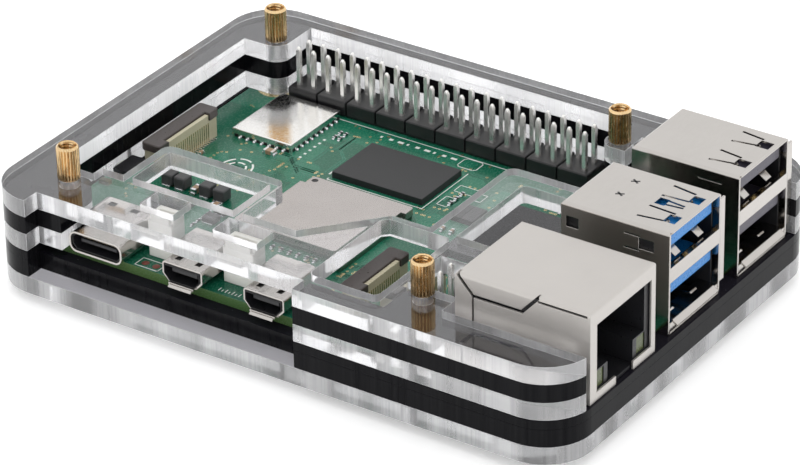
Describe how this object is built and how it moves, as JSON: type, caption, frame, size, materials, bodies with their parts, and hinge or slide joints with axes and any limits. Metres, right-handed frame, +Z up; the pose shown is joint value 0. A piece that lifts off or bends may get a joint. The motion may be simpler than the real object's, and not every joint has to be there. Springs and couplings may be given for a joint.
{
  "type": "single board computer",
  "caption": "Credit-card sized bare circuit board computer clamped in an open layered case of clear and black sheets, with its ports and pin header exposed.",
  "frame": {"origin": "centre of the object's box at its lowest face, the undersides of the four screw heads", "axes": "+X along the long side towards the data and network ports, +Y from the power and video ports towards the pin header, +Z up out of the board"},
  "size_m": [0.0934, 0.0662, 0.0236],
  "materials": {
    "clear_acrylic": "clear laser-cut acrylic sheet, polished faces and striated cut edges",
    "black_acrylic": "glossy black laser-cut acrylic",
    "brass": "bright turned brass with knurling",
    "screw_steel": "nickel-plated steel",
    "board_green": "green solder mask with pale print",
    "lid_metal": "satin nickel",
    "substrate": "dark green laminate",
    "chip_black": "dark moulded epoxy",
    "chip_glossy": "smooth dark epoxy",
    "shield_metal": "bright tin-plated can",
    "coil_grey": "dark grey ferrite",
    "ceramic_tan": "fired ceramic with tinned ends",
    "resistor_black": "black film on white ceramic",
    "pin_metal": "tin-plated square pins",
    "header_black": "black glass-filled nylon",
    "solder": "bright solder",
    "socket_white": "off-white nylon",
    "socket_cream": "cream liquid crystal polymer",
    "latch_brown": "dark brown polymer",
    "contact_gold": "gold-plated spring metal",
    "shell_metal": "bright nickel-plated folded sheet",
    "core_black": "black polymer",
    "core_blue": "saturated blue polymer",
    "core_grey": "dark violet-grey polymer",
    "light_lens": "milky light window",
    "button_grey": "pale grey polymer"
  },
  "bodies": {
    "board": {"base_plate": "clear_acrylic", "lower_frame": "black_acrylic", "board_frame": "black_acrylic", "middle_frame": "clear_acrylic", "middle_strip": "clear_acrylic", "upper_frame": "black_acrylic", "upper_strip": "black_acrylic", "top_frame": "clear_acrylic", "standoffs": "brass", "case_screws": "screw_steel", "circuit_board": "board_green", "processor_base": "substrate", "processor_lid": "lid_metal", "memory_chip": "chip_black", "io_chip": "chip_glossy", "power_chip": "chip_black", "network_chip": "chip_black", "wireless_shield": "shield_metal", "crystal_can": "shield_metal", "power_coils": "coil_grey", "capacitors": "ceramic_tan", "resistors": "resistor_black", "header_pins": "pin_metal", "header_body": "header_black", "header_solder": "solder", "power_header_pins": "pin_metal", "power_header_body": "header_black", "battery_socket": "socket_white", "serial_socket": "socket_white", "wire_contacts": "contact_gold", "express_socket_body": "socket_cream", "camera_socket_one_body": "socket_cream", "camera_socket_two_body": "socket_cream", "flex_leads": "solder", "power_port_shell": "shell_metal", "power_port_tongue": "core_black", "video_port_one_shell": "shell_metal", "video_port_one_tongue": "core_black", "video_port_two_shell": "shell_metal", "video_port_two_tongue": "core_black", "usb_fast_shell": "shell_metal", "usb_fast_core": "core_blue", "usb_slow_shell": "shell_metal", "usb_slow_core": "core_grey", "usb_contacts": "contact_gold", "network_jack_shell": "shell_metal", "network_jack_core": "core_black", "network_jack_lights": "light_lens", "network_jack_contacts": "contact_gold", "power_switch_housing": "core_black", "status_light": "light_lens", "card_socket": "shell_metal"},
    "power_button_body": {"power_button": "button_grey"},
    "express_latch_body": {"express_socket_latch": "latch_brown"},
    "camera_one_latch_body": {"camera_socket_one_latch": "latch_brown"},
    "camera_two_latch_body": {"camera_socket_two_latch": "latch_brown"}
  },
  "joints": [
    {"name": "power_button_press", "type": "slide", "parent": "board", "child": "power_button_body", "axis": [1, 0, 0], "range_m": [0, 0.00025], "stiffness_N_per_m": 3000, "springref_m": -0.0002},
    {"name": "express_latch_lift", "type": "slide", "parent": "board", "child": "express_latch_body", "axis": [0, 0, 1], "range_m": [0, 0.0008]},
    {"name": "camera_one_latch_lift", "type": "slide", "parent": "board", "child": "camera_one_latch_body", "axis": [0, 0, 1], "range_m": [0, 0.0008]},
    {"name": "camera_two_latch_lift", "type": "slide", "parent": "board", "child": "camera_two_latch_body", "axis": [0, 0, 1], "range_m": [0, 0.0008]}
  ]
}
